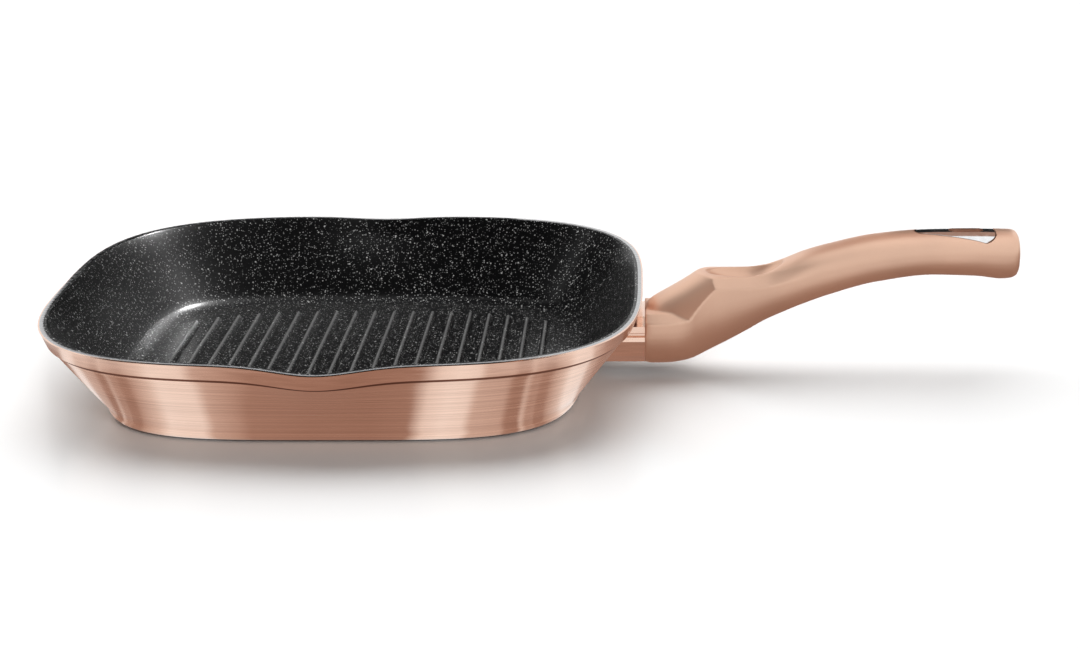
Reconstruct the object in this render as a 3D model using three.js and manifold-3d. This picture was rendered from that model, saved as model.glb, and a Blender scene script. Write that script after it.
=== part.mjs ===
// Square grill pan with a screwed-on moulded handle. Millimetres, +Z up, +X along the handle.
// The origin is the middle of the underside, on the surface that the pan stands on.
import * as THREE from 'three';
import { mergeVertices } from 'three/addons/utils/BufferGeometryUtils.js';
import Module from 'manifold-3d';

const wasm = await Module();
wasm.setup();

// Pan
const RIM_HALF = 140;          // half the width over the rim
const RIM_WIDTH = 4.2;         // flat ground top of the rim
const RIM_POWER = 3.34;        // squareness of the rim's outline
const BASE_HALF = 106.5;       // half the width of the flat underside
const BASE_POWER = 4;          // squareness of the underside's outline
const PAN_HEIGHT = 44.5;
const BAND_HEIGHT = 7.2;       // polished band below the rim
const BAND_SLOPE = 2.6;        // how far the band leans in over its height
const BAND_STEP = 0.9;         // how far the band stands proud of the wall
const FLOOR_THICK = 5;
const WALL_THICK = 3.3;        // measured level
const FLOOR_FILLET = 13;       // round between floor and wall inside
const BASE_ROUND = 5;          // round between underside and wall outside
const SPOUT_OUT = 5.5;
const SPOUT_DIP = 2.7;
const SPOUT_WIDTH = 24.5;
const OUTLINE_POINTS = 80;

// Grill ribs
const RIB_PITCH = 10;
const RIB_FOOT = 3.6;
const RIB_CREST = 1.8;
const RIB_HEIGHT = 2.3;
const RIB_END_MARGIN = 20;     // flat floor past the middle rib's end
const RIB_SIDE_MARGIN = 11.5;  // least flat floor beside the outer ribs
const RIB_FIELD_SPARE = 8;     // how far past the floor's edge the field's outline would close
const RIB_FIELD_POWER = 3;

// Underside
const PLATE_RADIUS = 88;
const PLATE_THICK = 0.8;
const PLATE_PROUD = 0.3;       // how far the plate stands below the aluminium
const PLATE_SIDES = 48;
const PLATE_HOLE_RADIUS = 3.2;
const PLATE_HOLE_RINGS = [[34, 10], [66, 20]];   // ring radius, holes on it
const HOLE_SIDES = 8;

// Handle fixing
const FIT_GAP = 0.3;
const ROUND_SIDES = 24;
const SHAFT_SIDES = 16;        // on the shank and the washers' holes
const SCREW_HEIGHT = 20.5;
const SCREW_RADIUS = 2.5;
const SCREW_LENGTH = 35;
const SCREW_HEAD_RADIUS = 4.5;
const SCREW_HEAD_HEIGHT = 3.6;
const SCREW_SOCKET_RADIUS = 2.3;
const SCREW_SOCKET_DEPTH = 2;
const SCREW_SOCKET_SIDES = 6;
const SCREW_SEAT = 21;         // from the handle's front face to the washer seat
const SCREW_ACCESS = 60;       // length of the driver's way behind the seat
const WASHER_RADIUS = 5;
const WASHER_THICK = 1;
const SPRING_THICK = 1.3;
const SPRING_SPLIT = 1;
const STUD_RADIUS = 8;
const STUD_SOLID = 1.5;        // metal left past the screw's tip
const GUARD_WALL = 1.8;
const GUARD_WEB = 2;
const GUARD_INSET = 0.6;       // how far the guard lies inside the handle's outline

// Handle. Each station: distance behind the front face, half width, then heights of the lowest
// point, side crease, shoulder and middle of the top, with the shoulder's half width.
const HANDLE_CLEAR = 1;        // from the rim to the handle's front face
const HANDLE_STATIONS = [
  { x: 0, wide: 20.2, low: 6.2, crease: 29.2, shoulder: 14.6, high: 32.2, mid: 33 },
  { x: 3, wide: 20.8, low: 5.6, crease: 29.5, shoulder: 15.2, high: 32.6, mid: 35.2 },
  { x: 11, wide: 20.5, low: 5.7, crease: 29.6, shoulder: 15.6, high: 32.8, mid: 40 },
  { x: 17, wide: 19.8, low: 6.4, crease: 29.8, shoulder: 16, high: 32.8, mid: 43.6 },
  { x: 22, wide: 18.6, low: 7.4, crease: 31.6, shoulder: 17, high: 33.6, mid: 47.4 },
  { x: 26, wide: 17.2, low: 9, crease: 35.4, shoulder: 15.6, high: 38.6, mid: 51.2 },
  { x: 30, wide: 16.2, low: 11, crease: 39.6, shoulder: 11, high: 48, mid: 50.6 },
  { x: 34, wide: 15.6, low: 13, crease: 43.2, shoulder: 11.2, high: 49.4, mid: 47.6 },
  { x: 42, wide: 15.2, low: 17.2, crease: 43.8, shoulder: 10.8, high: 49.5, mid: 45.6 },
  { x: 50, wide: 14.9, low: 21.8, crease: 44, shoulder: 10.4, high: 49.7, mid: 45.8 },
  { x: 58, wide: 14.5, low: 26.6, crease: 45, shoulder: 9.8, high: 50.8, mid: 49 },
  { x: 67, wide: 14, low: 30.8, crease: 47.4, shoulder: 8.6, high: 54.2, mid: 54.6 },
  { x: 77, wide: 13.5, low: 35, crease: 50.2, shoulder: 8, high: 58.2, mid: 59.8 },
  { x: 89, wide: 13.2, low: 39.4, crease: 53.4, shoulder: 8, high: 61.6, mid: 63.4 },
  { x: 112, wide: 13, low: 45.9, crease: 58.2, shoulder: 8, high: 66.4, mid: 68.4 },
  { x: 139, wide: 13, low: 49.3, crease: 61.2, shoulder: 8, high: 68.8, mid: 70.6 },
  { x: 159, wide: 13.5, low: 48.8, crease: 61.4, shoulder: 8.4, high: 69, mid: 70.8 },
  { x: 172, wide: 13.4, low: 47.4, crease: 61, shoulder: 8.4, high: 68.8, mid: 70.6 },
  { x: 176, wide: 13.3, low: 47.8, crease: 60.9, shoulder: 8.4, high: 68.7, mid: 70.5 },
  { x: 178.6, wide: 12.8, low: 49, crease: 60.7, shoulder: 8, high: 68, mid: 69.8 },
  { x: 179.6, wide: 11.4, low: 51.4, crease: 60.4, shoulder: 7, high: 66.6, mid: 68.4 },
];
const HANDLE_BELLY_POWER = 2.7;
const HANDLE_BELLY_STEPS = 5;
const HANDLE_TOP_POWER = 3;    // how steeply nose and dish meet the shoulder

// Hanging slot and its plate, from the handle's front face
const HANG_TIP = 130;
const HANG_END = 168;
const HANG_HALF_WIDTH = 11;
const HANG_TIP_HALF_WIDTH = 5;
const HANG_THICK = 2.2;
const SLOT_START = 146;
const SLOT_END = 163;
const SLOT_HALF_WIDTH = 4;

const handleFront = RIM_HALF + HANDLE_CLEAR;
const undersideZ = PLATE_PROUD;
const floorZ = undersideZ + FLOOR_THICK;
const bandFootZ = PAN_HEIGHT - BAND_HEIGHT;
const bandFootHalf = RIM_HALF - BAND_SLOPE;
const wallTopHalf = bandFootHalf - BAND_STEP;
const wallFootHalf = BASE_HALF + BASE_ROUND;
const filletTurn = Math.PI / 4;
const wallLean = (wallTopHalf - wallFootHalf) / (bandFootZ - undersideZ - BASE_ROUND);
const filletTopZ = floorZ + FLOOR_FILLET * (1 - Math.cos(filletTurn));
const filletTopHalf = wallFootHalf + wallLean * (filletTopZ - undersideZ - BASE_ROUND) - WALL_THICK;
const floorHalf = filletTopHalf - FLOOR_FILLET * Math.sin(filletTurn);
const ribsPerSide = Math.floor((floorHalf - RIB_SIDE_MARGIN) / RIB_PITCH);
const above = 12;              // how far cutting shapes reach past what they cut

// Meshes to solids and back
function solidOf(geometry) {
  const bare = new THREE.BufferGeometry();
  bare.setAttribute('position', geometry.getAttribute('position').clone());
  if (geometry.index) bare.setIndex(geometry.index.clone());
  const merged = mergeVertices(bare, 1e-5);
  return new wasm.Manifold(new wasm.Mesh({
    numProp: 3,
    vertProperties: new Float32Array(merged.getAttribute('position').array),
    triVerts: new Uint32Array(merged.index.array),
  }));
}

function geometryOf(solid) {
  const mesh = solid.getMesh();
  const geometry = new THREE.BufferGeometry();
  geometry.setAttribute('position', new THREE.BufferAttribute(new Float32Array(mesh.vertProperties), 3));
  geometry.setIndex(new THREE.BufferAttribute(new Uint32Array(mesh.triVerts), 1));
  geometry.computeVertexNormals();
  return geometry;
}

// Triangles over rings of equally many points, each ring anticlockwise from its outer side.
function sideTriangles(rings) {
  const triangles = [];
  for (let r = 0; r + 1 < rings.length; r += 1) {
    const [near, far] = [rings[r], rings[r + 1]];
    near.forEach((point, k) => {
      const next = (k + 1) % near.length;
      triangles.push([point, near[next], far[next]], [point, far[next], far[k]]);
    });
  }
  return triangles;
}

// A fan that closes a ring on its middle, facing the way the ring turns.
function fan(ring) {
  const middle = ring.reduce((sum, p) => sum.map((v, i) => v + p[i] / ring.length), [0, 0, 0]);
  return ring.map((point, k) => [middle, point, ring[(k + 1) % ring.length]]);
}

function solidOfTriangles(triangles) {
  const geometry = new THREE.BufferGeometry();
  geometry.setAttribute('position', new THREE.Float32BufferAttribute(triangles.flat(2), 3));
  return solidOf(geometry);
}

// A closed skin over rings, with a fan at each end.
function skin(rings) {
  const start = fan([...rings[0]].reverse());
  return solidOfTriangles([...start, ...sideTriangles(rings), ...fan(rings[rings.length - 1])]);
}

// A level ring of the pan's outline. The spouts swell and dip it by their share.
function outline(half, power, z, spout) {
  const ring = [];
  for (let k = 0; k < OUTLINE_POINTS; k += 1) {
    const turn = (k / OUTLINE_POINTS) * 2 * Math.PI;
    const c = Math.cos(turn);
    const s = Math.sin(turn);
    const reach = half / (Math.abs(c) ** power + Math.abs(s) ** power) ** (1 / power);
    const swell = spout * Math.exp(-((reach * c / SPOUT_WIDTH) ** 2));
    ring.push([reach * c, reach * s + Math.sign(s) * SPOUT_OUT * swell, z - SPOUT_DIP * swell]);
  }
  return ring;
}

const heightShare = (z) => Math.min(1, Math.max(0, (z - undersideZ) / (bandFootZ - undersideZ)));
const powerAt = (z) => BASE_POWER + (RIM_POWER - BASE_POWER) * heightShare(z);
const spoutFootZ = floorZ + FLOOR_FILLET / 2;
const spoutAt = (z) => Math.min(1, Math.max(0, (z - spoutFootZ) / (bandFootZ - spoutFootZ))) ** 2;
const wallHalfAt = (z) => wallFootHalf + wallLean * (z - undersideZ - BASE_ROUND);
const level = (half, z) => outline(half, powerAt(z), z, spoutAt(z));

// Rings up the pan's outside, grown sideways by a gap.
function outsideRings(grow) {
  const wallMidZ = (undersideZ + BASE_ROUND + bandFootZ) / 2;
  const rings = [level(BASE_HALF + grow, undersideZ)];
  for (const turn of [Math.PI / 6, Math.PI / 3]) {
    const half = BASE_HALF + BASE_ROUND * Math.sin(turn) + grow;
    rings.push(level(half, undersideZ + BASE_ROUND * (1 - Math.cos(turn))));
  }
  for (const z of [undersideZ + BASE_ROUND, wallMidZ, bandFootZ - BAND_STEP]) {
    rings.push(level(wallHalfAt(z) + grow, z));
  }
  rings.push(level(bandFootHalf + grow, bandFootZ));
  rings.push(level(RIM_HALF + grow, PAN_HEIGHT));
  return rings;
}

// Rings from the rim's inner edge down to the edge of the flat floor.
function insideRings() {
  const topHalf = RIM_HALF - RIM_WIDTH;
  const middle = level((filletTopHalf + topHalf) / 2, (filletTopZ + PAN_HEIGHT) / 2);
  const rings = [level(topHalf, PAN_HEIGHT), middle];
  for (const turn of [filletTurn, filletTurn / 2, 0]) {
    const half = floorHalf + FLOOR_FILLET * Math.sin(turn);
    rings.push(level(half, floorZ + FLOOR_FILLET * (1 - Math.cos(turn))));
  }
  return rings;
}

const panOutside = (grow) => skin(outsideRings(grow));

// The foot and crest of one rib along Y, with all four sides leaning in.
function ribRings(x) {
  const across = Math.abs(x / (floorHalf + RIB_FIELD_SPARE)) ** RIB_FIELD_POWER;
  const halfLength = (floorHalf - RIB_END_MARGIN) * (1 - across) ** (1 / RIB_FIELD_POWER);
  const slice = (halfX, inset, z) => {
    const halfY = halfLength - inset;
    return [[x - halfX, -halfY, z], [x + halfX, -halfY, z], [x + halfX, halfY, z], [x - halfX, halfY, z]];
  };
  const inset = (RIB_FOOT - RIB_CREST) / 2;
  return [slice(RIB_FOOT / 2, 0, floorZ), slice(RIB_CREST / 2, inset, floorZ + RIB_HEIGHT)];
}

// The flat floor inside a ring, with the ribs standing on it.
function ribbedFloor(edge) {
  const flat = (ring) => ring.map(([x, y]) => new THREE.Vector2(x, y));
  const floor = new THREE.Shape(flat(edge));
  const triangles = [];
  for (let k = -ribsPerSide; k <= ribsPerSide; k += 1) {
    const [foot, crest] = ribRings(k * RIB_PITCH);
    floor.holes.push(new THREE.Path(flat(foot)));
    triangles.push(...sideTriangles([foot, crest]));
    triangles.push([crest[0], crest[1], crest[2]], [crest[0], crest[2], crest[3]]);
  }
  const plane = new THREE.ShapeGeometry(floor).toNonIndexed().getAttribute('position');
  for (let k = 0; k < plane.count; k += 3) {
    triangles.push([k, k + 1, k + 2].map((i) => [plane.getX(i), plane.getY(i), floorZ]));
  }
  return triangles;
}

// A round bar along X at the screw's height.
function barX(radius, from, to, sides = ROUND_SIDES) {
  const bar = new THREE.CylinderGeometry(radius, radius, to - from, sides);
  bar.rotateZ(Math.PI / 2);
  bar.translate((from + to) / 2, 0, SCREW_HEIGHT);
  return solidOf(bar);
}

// An upright disc through the underside, from a height up.
function disc(radius, x, y, from, thick, sides) {
  const round = new THREE.CylinderGeometry(radius, radius, thick, sides);
  round.rotateX(Math.PI / 2);
  round.translate(x, y, from + thick / 2);
  return solidOf(round);
}

function inductionPlate() {
  let plate = disc(PLATE_RADIUS, 0, 0, 0, PLATE_THICK, PLATE_SIDES);
  for (const [ring, count] of PLATE_HOLE_RINGS) {
    for (let k = 0; k < count; k += 1) {
      const turn = (k / count) * 2 * Math.PI;
      const [x, y] = [ring * Math.cos(turn), ring * Math.sin(turn)];
      plate = plate.subtract(disc(PLATE_HOLE_RADIUS, x, y, -PLATE_THICK, PLATE_THICK * 3, HOLE_SIDES));
    }
  }
  return plate;
}

function panBody() {
  const recess = (z) => outline(PLATE_RADIUS + FIT_GAP, 2, z, 0);
  const rings = [recess(PLATE_THICK), recess(undersideZ), ...outsideRings(0), ...insideRings()];
  const ceiling = fan([...rings[0]].reverse());
  return solidOfTriangles([...ceiling, ...sideTriangles(rings), ...ribbedFloor(rings[rings.length - 1])]);
}

// One closed section of the handle, pulled in by an inset.
function handleSection(station, inset) {
  const { wide, low, crease, shoulder, high, mid } = station;
  const side = [];
  for (let k = 1; k < HANDLE_BELLY_STEPS; k += 1) {
    const turn = (k / HANDLE_BELLY_STEPS) * (Math.PI / 2);
    const y = (wide - inset) * Math.sin(turn) ** (2 / HANDLE_BELLY_POWER);
    const drop = (crease - low - inset) * Math.cos(turn) ** (2 / HANDLE_BELLY_POWER);
    side.push([y, crease - drop]);
  }
  side.push([wide - inset, crease]);
  side.push([shoulder - inset, high - inset]);
  for (const share of [0.8, 0.5]) {
    side.push([(shoulder - inset) * share, mid - inset + (high - mid) * share ** HANDLE_TOP_POWER]);
  }
  const other = side.map(([y, z]) => [-y, z]).reverse();
  return [[0, low + inset], ...side, [0, mid - inset], ...other];
}

function handleSkin(drop) {
  const placed = (s) => handleSection(s, 0).map(([y, z]) => [handleFront + s.x, y, z - drop]);
  return skin(HANDLE_STATIONS.map(placed));
}

function guardBar(inset, from, to) {
  const section = handleSection(HANDLE_STATIONS[0], inset);
  return skin([from, to].map((x) => section.map(([y, z]) => [x, y, z])));
}

// An upright prism of a shape drawn in plan.
function prism(shape) {
  const tall = PAN_HEIGHT * 4;
  return solidOf(new THREE.ExtrudeGeometry(shape, { depth: tall, bevelEnabled: false, curveSegments: 6 }));
}

function hangOutline(grow) {
  const shape = new THREE.Shape();
  const tip = handleFront + HANG_TIP - grow;
  const end = handleFront + HANG_END + grow;
  const corner = (HANG_HALF_WIDTH + grow) / 2;
  shape.moveTo(tip, -HANG_TIP_HALF_WIDTH - grow);
  shape.lineTo(end - corner, -HANG_HALF_WIDTH - grow);
  shape.quadraticCurveTo(end, -HANG_HALF_WIDTH - grow, end, -corner);
  shape.lineTo(end, corner);
  shape.quadraticCurveTo(end, HANG_HALF_WIDTH + grow, end - corner, HANG_HALF_WIDTH + grow);
  shape.lineTo(tip, HANG_TIP_HALF_WIDTH + grow);
  shape.closePath();
  return shape;
}

function slotOutline() {
  const shape = new THREE.Shape();
  const first = handleFront + SLOT_START + SLOT_HALF_WIDTH;
  const last = handleFront + SLOT_END - SLOT_HALF_WIDTH;
  shape.absarc(last, 0, SLOT_HALF_WIDTH, -Math.PI / 2, Math.PI / 2);
  shape.absarc(first, 0, SLOT_HALF_WIDTH, Math.PI / 2, Math.PI * 1.5);
  shape.closePath();
  return shape;
}

const seatX = handleFront + SCREW_SEAT;
const washerX = seatX + FIT_GAP;
const springX = washerX + WASHER_THICK + FIT_GAP;
const headX = springX + SPRING_THICK + FIT_GAP;
const tipX = headX - SCREW_LENGTH;
const guardEndX = handleFront - FIT_GAP;
const webX = guardEndX - GUARD_WEB;
const boreRadius = SCREW_RADIUS + FIT_GAP;

function handleGrip() {
  const pocket = prism(hangOutline(FIT_GAP)).subtract(handleSkin(HANG_THICK + FIT_GAP));
  return handleSkin(0)
    .subtract(pocket)
    .subtract(prism(slotOutline()))
    .subtract(barX(boreRadius, handleFront - above, seatX + above))
    .subtract(barX(WASHER_RADIUS + FIT_GAP, seatX, seatX + SCREW_ACCESS));
}

function hangInsert() {
  return prism(hangOutline(0)).intersect(handleSkin(0))
    .subtract(handleSkin(HANG_THICK))
    .subtract(prism(slotOutline()));
}

function flameGuard() {
  return guardBar(GUARD_INSET, 0, guardEndX)
    .subtract(guardBar(GUARD_INSET + GUARD_WALL, -above, webX))
    .subtract(panOutside(FIT_GAP))
    .subtract(barX(boreRadius, 0, handleFront + above));
}

function handleStud() {
  return barX(STUD_RADIUS, 0, webX - FIT_GAP)
    .subtract(panOutside(FIT_GAP))
    .subtract(barX(boreRadius, tipX - STUD_SOLID, handleFront + above));
}

function handleScrew() {
  const headEndX = headX + SCREW_HEAD_HEIGHT;
  const join = SCREW_HEAD_HEIGHT / 2;
  return barX(SCREW_RADIUS, tipX, headX + join, SHAFT_SIDES)
    .add(barX(SCREW_HEAD_RADIUS, headX, headEndX))
    .subtract(barX(SCREW_SOCKET_RADIUS, headEndX - SCREW_SOCKET_DEPTH, headEndX + above, SCREW_SOCKET_SIDES));
}

const washer = (from, thick) => barX(WASHER_RADIUS, from, from + thick)
  .subtract(barX(boreRadius, from - above, from + thick + above, SHAFT_SIDES));

function springWasher() {
  const split = new THREE.BoxGeometry(SPRING_THICK * 4, SPRING_SPLIT, WASHER_RADIUS * 2);
  split.translate(springX, 0, SCREW_HEIGHT + WASHER_RADIUS);
  return washer(springX, SPRING_THICK).subtract(solidOf(split));
}

function finish(color, roughness, metalness) {
  return new THREE.MeshStandardMaterial({ color, roughness, metalness });
}

const roseGold = [0xc8967d, 0.3, 1];
const steel = [0xb8bcc0, 0.35, 1];

const pieces = [
  ['pan_body', panBody(), roseGold],
  ['induction_plate', inductionPlate(), steel],
  ['handle_stud', handleStud(), [0xaeb0b2, 0.4, 1]],
  ['flame_guard', flameGuard(), [0xc8967d, 0.2, 1]],
  ['handle_grip', handleGrip(), [0xcda58c, 0.5, 0.1]],
  ['handle_screw', handleScrew(), steel],
  ['spring_washer', springWasher(), steel],
  ['plain_washer', washer(washerX, WASHER_THICK), steel],
  ['hang_insert', hangInsert(), [0xe4e6e8, 0.08, 1]],
];

const grillPan = new THREE.Group();
for (const [name, solid, look] of pieces) {
  const mesh = new THREE.Mesh(geometryOf(solid), finish(...look));
  mesh.name = name;
  grillPan.add(mesh);
}

export default grillPan;
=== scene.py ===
"""Dresses the grill pan: rose-gold bowl, speckled lining, satin handle and chrome hanging plate."""
import math

import bmesh
import bpy
import numpy as np
from bpy.props import FloatProperty, FloatVectorProperty, IntProperty, PointerProperty
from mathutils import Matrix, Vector


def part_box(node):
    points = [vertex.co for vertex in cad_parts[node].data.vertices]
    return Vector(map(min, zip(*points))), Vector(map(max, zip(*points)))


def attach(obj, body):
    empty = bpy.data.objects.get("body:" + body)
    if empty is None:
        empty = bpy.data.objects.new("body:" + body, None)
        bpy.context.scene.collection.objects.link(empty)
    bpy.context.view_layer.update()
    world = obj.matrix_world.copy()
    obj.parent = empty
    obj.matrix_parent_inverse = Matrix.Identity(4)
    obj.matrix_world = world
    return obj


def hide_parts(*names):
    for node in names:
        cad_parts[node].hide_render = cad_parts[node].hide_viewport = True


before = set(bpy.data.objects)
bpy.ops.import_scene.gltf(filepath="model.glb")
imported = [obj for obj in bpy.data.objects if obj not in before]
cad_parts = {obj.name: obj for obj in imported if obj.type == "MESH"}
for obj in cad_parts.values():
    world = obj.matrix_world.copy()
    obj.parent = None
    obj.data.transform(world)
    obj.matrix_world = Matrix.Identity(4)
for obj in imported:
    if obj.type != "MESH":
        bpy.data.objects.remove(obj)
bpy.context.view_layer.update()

bl_info = {
    "name": "Grill Pan Dresser",
    "version": (1, 0, 0),
    "blender": (4, 5, 0),
    "location": "View3D > Sidebar > Grill Pan",
    "description": "Makes the finished surfaces of a square grill pan around its frame",
    "category": "Object",
}

MM = 0.001
ROOT = "root"
PAN_LOW, PAN_HIGH = (Vector(corner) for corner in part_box("pan_body"))
GRIP_LOW, GRIP_HIGH = (Vector(corner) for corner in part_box("handle_grip"))
PLATE_LOW, PLATE_HIGH = (Vector(corner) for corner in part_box("induction_plate"))

# Sections of the handle, in millimetres: distance behind its front face, half width, lowest point,
# top of the belly, side crease, shoulder half width, shoulder height and middle height.
# In front of the ridge they run on at its height, and the ledge and the thumb ramp are cut from them.
HANDLE_STATIONS = (
    (0, 20.2, 6.2, 28.6, 45, 11.4, 49.5, 50.2),
    (3, 20.8, 5.6, 28.6, 45, 11.4, 49.5, 50.2),
    (11, 20.5, 5.7, 28.6, 45, 11.4, 49.5, 50.2),
    (17, 19.8, 6.4, 29, 45, 11.4, 49.5, 50.2),
    (22, 18.6, 7.4, 30.5, 45, 11.4, 49.5, 50.2),
    (26, 17.2, 9, 33, 45, 11.4, 49.5, 50.2),
    (30, 16.2, 11, 37, 45, 11.4, 49.5, 50.2),
    (34, 15.6, 13, 41, 45, 11.2, 49.5, 50.2),
    (42, 15.2, 17.2, 43.8, 45, 10.8, 49.6, 50.2),
    (50, 14.9, 21.8, 44.6, 45.2, 10.4, 49.8, 50.4),
    (58, 14.5, 26.6, 45.4, 46, 9.8, 51, 51.8),
    (67, 14, 30.8, 47.4, 48, 8.8, 54.2, 55.4),
    (77, 13.5, 35, 50.2, 50.4, 8, 58.2, 59.8),
    (89, 13.2, 39.4, 53.4, 53.4, 8, 61.6, 63.4),
    (112, 13, 45.9, 58.2, 58.2, 8, 66.4, 68.4),
    (139, 13, 49.3, 61.2, 61.2, 8, 68.8, 70.6),
    (159, 13.5, 48.8, 61.4, 61.4, 8.4, 69, 70.8),
    (172, 13.4, 47.4, 61, 61, 8.4, 68.8, 70.6),
    (176, 13.3, 47.8, 60.9, 60.9, 8.4, 68.7, 70.5),
    (178.6, 12.8, 49, 60.7, 60.7, 8, 68, 69.8),
    (179.6, 11.4, 51.4, 60.4, 60.4, 7, 66.6, 68.4),
)
BELLY_POWER = 2.7
TOP_POWER = 3
OVAL_POWER = 2.2
OVAL_START, OVAL_END = 56, 84
BELLY_STEPS, SHOULDER_STEPS, TOP_STEPS = 15, 6, 13
BODY_STEPS = 150
END_LENGTH, END_STEPS = 9, 24  # sections lie closer together at the handle's end

# The ledge in front of the ridge as half width and height, and the thumb ramp that rises from it.
LEDGE = ((0, 33.2), (15, 32.6), (26, 25.8))
RAMP_FOOT, RAMP_SLOPE, RAMP_CURVE, RAMP_TOE = 33.2, 0.42, 0.0055, 3.0
RAMP_HALF, RAMP_FALL, RAMP_POWER = 17, 14, 2.2
RAMP_END = 42
RAMP_STEPS, ARCH_STEPS = 49, 61

# How far the ledge's cutter starts before the handle and stops short of the ramp's end, and how far
# the ramp's form reaches forwards, sideways and down.
LEDGE_AHEAD, LEDGE_SHORT = 3, 2
RAMP_AHEAD, RAMP_REACH, RAMP_DEPTH = 6, 30, 90

# The hollow for the thumb behind the ridge: middle, half length, half width and depth, and the powers
# by which its width and depth shrink towards its ends.
HOLLOW = (48.5, 18.5, 8.8, 6.2)
HOLLOW_WIDE, HOLLOW_DEEP = 0.45, 0.6
HOLLOW_ENDS = 0.99             # share of the turn from its middle at which it is closed
HOLLOW_STEPS, HOLLOW_SIDES = 41, 40

# The guard's section from the bottom round to the top, as half width and height.
GUARD_SECTION = ((0, 6.8), (9, 7.1), (15.2, 11.8), (18.8, 19.8), (18.3, 21.8), (17.3, 22.6), (17.3, 23.4),
                 (18.4, 24.0), (18.6, 27.2), (14, 31.2), (0, 32.2))
GUARD_GAP = 0.02 * MM          # what stays open between the guard and the handle

GRIP_VOXEL, GRIP_EASE = 0.6 * MM, 4  # grain and rounds of smoothing for the handle's edges
PRISM_ABOVE = 20 * MM          # how far the cutting prisms stand out above the handle
DRIVER_SIDES = 48


def size(label, text, default):
    """A length that a user may change, in metres."""
    return FloatProperty(name=label, description=text, default=default, unit="LENGTH", precision=4)


def colour(label, text, default):
    """A linear colour that a user may change."""
    return FloatVectorProperty(name=label, description=text, default=default, size=3, subtype="COLOR",
                               min=0.0, max=1.0)


def exponent(label, text, default):
    """The power of an outline, which a user may change."""
    return FloatProperty(name=label, description=text, default=default)


class PanSizes(bpy.types.PropertyGroup):
    """Sizes of the bowl, its ribs and its base plate."""
    rim_width: size("Rim width", "Flat ground top of the rim", 4.2 * MM)
    rim_bare: size("Bare rim", "Ground edge that the lining leaves bare", 2.4 * MM)
    rim_round: size("Rim round", "Small round on the rim's edges", 0.7 * MM)
    rim_power: exponent("Rim squareness", "Power of the rim's outline", 3.34)
    base_half: size("Base half width", "Half the flat underside", 106.5 * MM)
    base_power: exponent("Base squareness", "Power of the base's outline", 4.0)
    base_round: size("Base round", "Round between underside and wall", 5 * MM)
    band_height: size("Band height", "Polished band below the rim", 7.2 * MM)
    band_slope: size("Band slope", "How far the band leans in", 2.6 * MM)
    band_step: size("Band step", "How far the band stands proud", 0.9 * MM)
    groove_drop: size("Groove", "Height of the shaded groove below the band", 1.6 * MM)
    floor_thick: size("Floor thickness", "Metal under the floor", 5 * MM)
    wall_thick: size("Wall thickness", "Level thickness of the wall", 3.3 * MM)
    floor_fillet: size("Floor fillet", "Round between floor and wall", 13 * MM)
    spout_out: size("Spout reach", "How far a spout swells out", 5.5 * MM)
    spout_dip: size("Spout dip", "How far a spout dips", 2.7 * MM)
    spout_width: size("Spout width", "Spread of a spout along the rim", 24.5 * MM)
    rib_count: IntProperty(name="Ribs", description="Number of grill ribs", default=19, min=1)
    rib_pitch: size("Rib pitch", "Distance between ribs", 10 * MM)
    rib_foot: size("Rib foot", "Width of a rib at the floor", 3.6 * MM)
    rib_crest: size("Rib crest", "Width of a rib's top", 1.8 * MM)
    rib_height: size("Rib height", "Height of a rib", 2.3 * MM)
    rib_field_y: size("Rib half length", "Half the middle rib", 82 * MM)
    rib_field_x: size("Rib field", "Where the ribs' outline would close", 110 * MM)
    hole_radius: size("Plate hole radius", "Holes in the base plate", 3.2 * MM)


class HandleSizes(bpy.types.PropertyGroup):
    """Sizes of the handle's cuts, the guard and the hanging plate."""
    guard_wall: size("Guard wall", "Thickness of the guard", 1.8 * MM)
    guard_web: size("Guard web", "Thickness of the guard's end", 2 * MM)
    fit_gap: size("Fit gap", "Clearance between neighbours", 0.3 * MM)
    screw_height: size("Screw height", "Height of the screw's axis", 20.5 * MM)
    screw_seat: size("Screw seat", "From the front face to the washer seat", 21 * MM)
    access_radius: size("Access radius", "Driver's way in the underside", 5.3 * MM)
    access_length: size("Access length", "Length of the driver's way", 60 * MM)
    hang_tip: size("Plate tip", "Front of the hanging plate", 130 * MM)
    hang_end: size("Plate end", "Back of the hanging plate", 168 * MM)
    hang_half: size("Plate half width", "Widest half of the hanging plate", 11 * MM)
    hang_tip_half: size("Plate tip half width", "Narrow half of the hanging plate", 5 * MM)
    hang_thick: size("Plate thickness", "Thickness of the hanging plate", 2.2 * MM)
    slot_start: size("Slot start", "Front of the hanging slot", 146 * MM)
    slot_end: size("Slot end", "Back of the hanging slot", 163 * MM)
    slot_half: size("Slot half width", "Half the hanging slot", 4 * MM)


class PanColours(bpy.types.PropertyGroup):
    """Linear colours of the finishes."""
    rose_gold: colour("Rose gold", "Brushed wall", (0.88, 0.63, 0.51))
    # Painted shade: the groove's dark brown stands in for the shade in the crevice under the band.
    groove: colour("Groove", "Shaded groove below the band", (0.2, 0.085, 0.055))
    grip: colour("Grip", "Satin handle", (0.82, 0.535, 0.395))
    lining: colour("Lining", "Dark non-stick lining", (0.002, 0.002, 0.0023))
    speck: colour("Specks", "Pale specks of the lining", (0.7, 0.7, 0.69))
    aluminium: colour("Aluminium", "Ground rim", (0.5, 0.5, 0.51))
    steel: colour("Steel", "Base plate and screw", (0.56, 0.57, 0.58))
    chrome: colour("Chrome", "Hanging plate", (0.88, 0.89, 0.90))


# Materials

EVEN = (1, 1, 1)               # noise that isn't stretched

# Scratches of brushed metal: detail, how they change the roughness, and depth.
SCRATCH_DETAIL = 4.0
SCRATCH_ROUGH = (-0.06, 0.08)
SCRATCH_DEPTH = 0.05 * MM

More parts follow.
